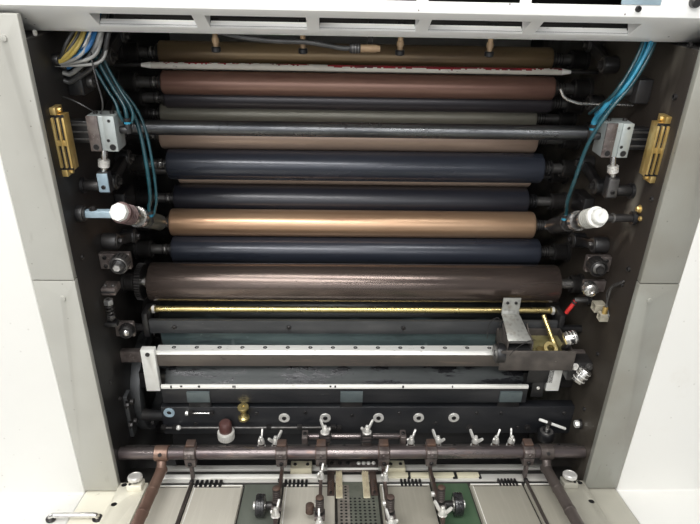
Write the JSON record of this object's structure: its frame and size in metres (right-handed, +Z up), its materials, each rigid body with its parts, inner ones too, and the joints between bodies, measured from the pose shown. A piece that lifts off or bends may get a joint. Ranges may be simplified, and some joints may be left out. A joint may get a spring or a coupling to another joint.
{
  "type": "offset printing press unit with feed table",
  "caption": "Sheet-fed offset printing unit: ink and damping rollers between side frames under a slotted hood, with a sloping feed table, clamps and white housings.",
  "frame": {"origin": "on the floor under the middle of the machine", "axes": "+X along the rollers to the right as seen from the feed table, +Y from the feed table to the back, +Z up"},
  "size_m": [1.46, 1.46, 1.65],
  "materials": {
    "cast_frame": "dark oily grey paint",
    "cover_paint": "satin off-white paint",
    "strip_paint": "satin warm grey paint",
    "steel": "worn bright steel",
    "rusty_steel": "brown tarnished steel",
    "white_plastic": "white plastic",
    "brass": "tarnished brass",
    "dark_bar": "blue-black paint",
    "pan_metal": "stained sheet",
    "bearing_steel": "oily black",
    "plate_metal": "scuffed teal plate",
    "blanket": "blue rubber blanket",
    "ink_rubber": "inked blue-black rubber",
    "copper_coat": "copper-brown coating with an ink film",
    "olive_coat": "grey-olive inked coating",
    "brown_coat": "red-brown inked coating",
    "ochre_coat": "ochre inked coating",
    "damping_metal": "dark brown metal sheen",
    "yellow_zinc": "yellow passivated",
    "hose_blue": "blue air tube",
    "cable": "grey cable",
    "table_steel": "dull steel plate",
    "cream_paint": "worn cream paint",
    "belt": "dark woven belt",
    "green_tape": "dark green tape",
    "wheel_tyre": "black rubber tyre"
  },
  "bodies": {
    "frame": {"base_beams": "cast_frame", "side_frame_left": "cast_frame", "side_frame_right": "cast_frame", "side_housing_left": "cover_paint", "side_housing_right": "cover_paint", "front_strips": "strip_paint", "slotted_hood": "cover_paint", "top_cover": "cover_paint", "rear_cover": "cover_paint", "lower_cover": "cover_paint", "arm_end_beam": "cast_frame", "tie_bar": "steel", "front_bar": "rusty_steel", "guard_bar": "white_plastic", "brass_tube": "brass", "flat_bar": "dark_bar", "gauge_bar": "pan_metal", "gauge_end_plates": "white_plastic", "roller_bearings": "bearing_steel", "roller_brackets": "bearing_steel", "blanket_cylinder": "blanket", "impression_cylinder": "steel", "damping_pan": "pan_metal", "water_box": "rusty_steel", "lay_beam": "dark_bar", "beam_fittings": "steel", "wall_ring": "rusty_steel", "air_cylinders": "pan_metal", "wall_catches": "yellow_zinc", "lock_handles": "steel", "roller_adjusters": "bearing_steel", "key_rail": "brass", "air_tubes": "hose_blue", "cable_bundle": "cable", "feed_table": "table_steel", "table_rails": "cream_paint", "thumb_screws": "steel", "suction_belt": "belt", "green_tapes": "green_tape", "end_strips": "table_steel", "nut_rail": "rusty_steel", "bar_clamps": "rusty_steel", "wheel_arms": "rusty_steel", "push_rods": "rusty_steel", "tube_handle": "steel"},
    "plate_cylinder": {"plate_cylinder": "plate_metal"},
    "ink_roller_1": {"ink_roller_1": "ink_rubber"},
    "ink_roller_2": {"ink_roller_2": "copper_coat"},
    "ink_roller_3": {"ink_roller_3": "ink_rubber"},
    "ink_roller_4": {"ink_roller_4": "copper_coat"},
    "ink_roller_5": {"ink_roller_5": "ink_rubber"},
    "ink_roller_6": {"ink_roller_6": "copper_coat"},
    "ink_roller_7": {"ink_roller_7": "olive_coat"},
    "ink_roller_8": {"ink_roller_8": "ink_rubber"},
    "ink_roller_9": {"ink_roller_9": "brown_coat"},
    "damping_roller": {"damping_roller": "damping_metal"},
    "fountain_roller": {"fountain_roller": "ochre_coat"},
    "hold_down_wheel_left": {"hold_down_wheel_left": "wheel_tyre"},
    "hold_down_wheel_right": {"hold_down_wheel_right": "wheel_tyre"}
  },
  "joints": [
    {"name": "plate_cylinder_spin", "type": "hinge", "parent": "frame", "child": "plate_cylinder", "pos_m": [0, 0.256, 0.971], "axis": [1, 0, 0], "continuous": true},
    {"name": "ink_roller_1_spin", "type": "hinge", "parent": "frame", "child": "ink_roller_1", "pos_m": [0, 0.249, 1.11413], "axis": [1, 0, 0], "continuous": true},
    {"name": "ink_roller_2_spin", "type": "hinge", "parent": "frame", "child": "ink_roller_2", "pos_m": [0, 0.26527, 1.16803], "axis": [1, 0, 0], "continuous": true},
    {"name": "ink_roller_3_spin", "type": "hinge", "parent": "frame", "child": "ink_roller_3", "pos_m": [0, 0.31177, 1.20319], "axis": [1, 0, 0], "continuous": true},
    {"name": "ink_roller_4_spin", "type": "hinge", "parent": "frame", "child": "ink_roller_4", "pos_m": [0, 0.33567, 1.25637], "axis": [1, 0, 0], "continuous": true},
    {"name": "ink_roller_5_spin", "type": "hinge", "parent": "frame", "child": "ink_roller_5", "pos_m": [0, 0.28493, 1.28508], "axis": [1, 0, 0], "continuous": true},
    {"name": "ink_roller_6_spin", "type": "hinge", "parent": "frame", "child": "ink_roller_6", "pos_m": [0, 0.30789, 1.33866], "axis": [1, 0, 0], "continuous": true},
    {"name": "ink_roller_7_spin", "type": "hinge", "parent": "frame", "child": "ink_roller_7", "pos_m": [0, 0.35237, 1.36981], "axis": [1, 0, 0], "continuous": true},
    {"name": "ink_roller_8_spin", "type": "hinge", "parent": "frame", "child": "ink_roller_8", "pos_m": [0, 0.32483, 1.40703], "axis": [1, 0, 0], "continuous": true},
    {"name": "ink_roller_9_spin", "type": "hinge", "parent": "frame", "child": "ink_roller_9", "pos_m": [0, 0.29944, 1.44085], "axis": [1, 0, 0], "continuous": true},
    {"name": "damping_roller_spin", "type": "hinge", "parent": "frame", "child": "damping_roller", "pos_m": [0, 0.15705, 1.08809], "axis": [1, 0, 0], "continuous": true},
    {"name": "fountain_roller_spin", "type": "hinge", "parent": "frame", "child": "fountain_roller", "pos_m": [0, 0.342, 1.489], "axis": [1, 0, 0], "continuous": true},
    {"name": "hold_down_wheel_left_spin", "type": "hinge", "parent": "frame", "child": "hold_down_wheel_left", "pos_m": [-0.172, -0.11102, 0.77888], "axis": [1, 0, 0], "continuous": true},
    {"name": "hold_down_wheel_right_spin", "type": "hinge", "parent": "frame", "child": "hold_down_wheel_right", "pos_m": [0.184, -0.11102, 0.77888], "axis": [1, 0, 0], "continuous": true}
  ],
  "couplings": [
    {"joint": "ink_roller_1_spin", "follows": "plate_cylinder_spin", "ratio": -4.1071},
    {"joint": "ink_roller_2_spin", "follows": "plate_cylinder_spin", "ratio": 4.1071},
    {"joint": "ink_roller_3_spin", "follows": "plate_cylinder_spin", "ratio": -3.8333},
    {"joint": "ink_roller_4_spin", "follows": "plate_cylinder_spin", "ratio": 4.1071},
    {"joint": "ink_roller_5_spin", "follows": "plate_cylinder_spin", "ratio": -3.8333},
    {"joint": "ink_roller_6_spin", "follows": "plate_cylinder_spin", "ratio": 4.1071},
    {"joint": "ink_roller_7_spin", "follows": "plate_cylinder_spin", "ratio": -4.4231},
    {"joint": "ink_roller_8_spin", "follows": "plate_cylinder_spin", "ratio": 5.75},
    {"joint": "ink_roller_9_spin", "follows": "plate_cylinder_spin", "ratio": -5.2273},
    {"joint": "damping_roller_spin", "follows": "plate_cylinder_spin", "ratio": -3.0263}
  ]
}
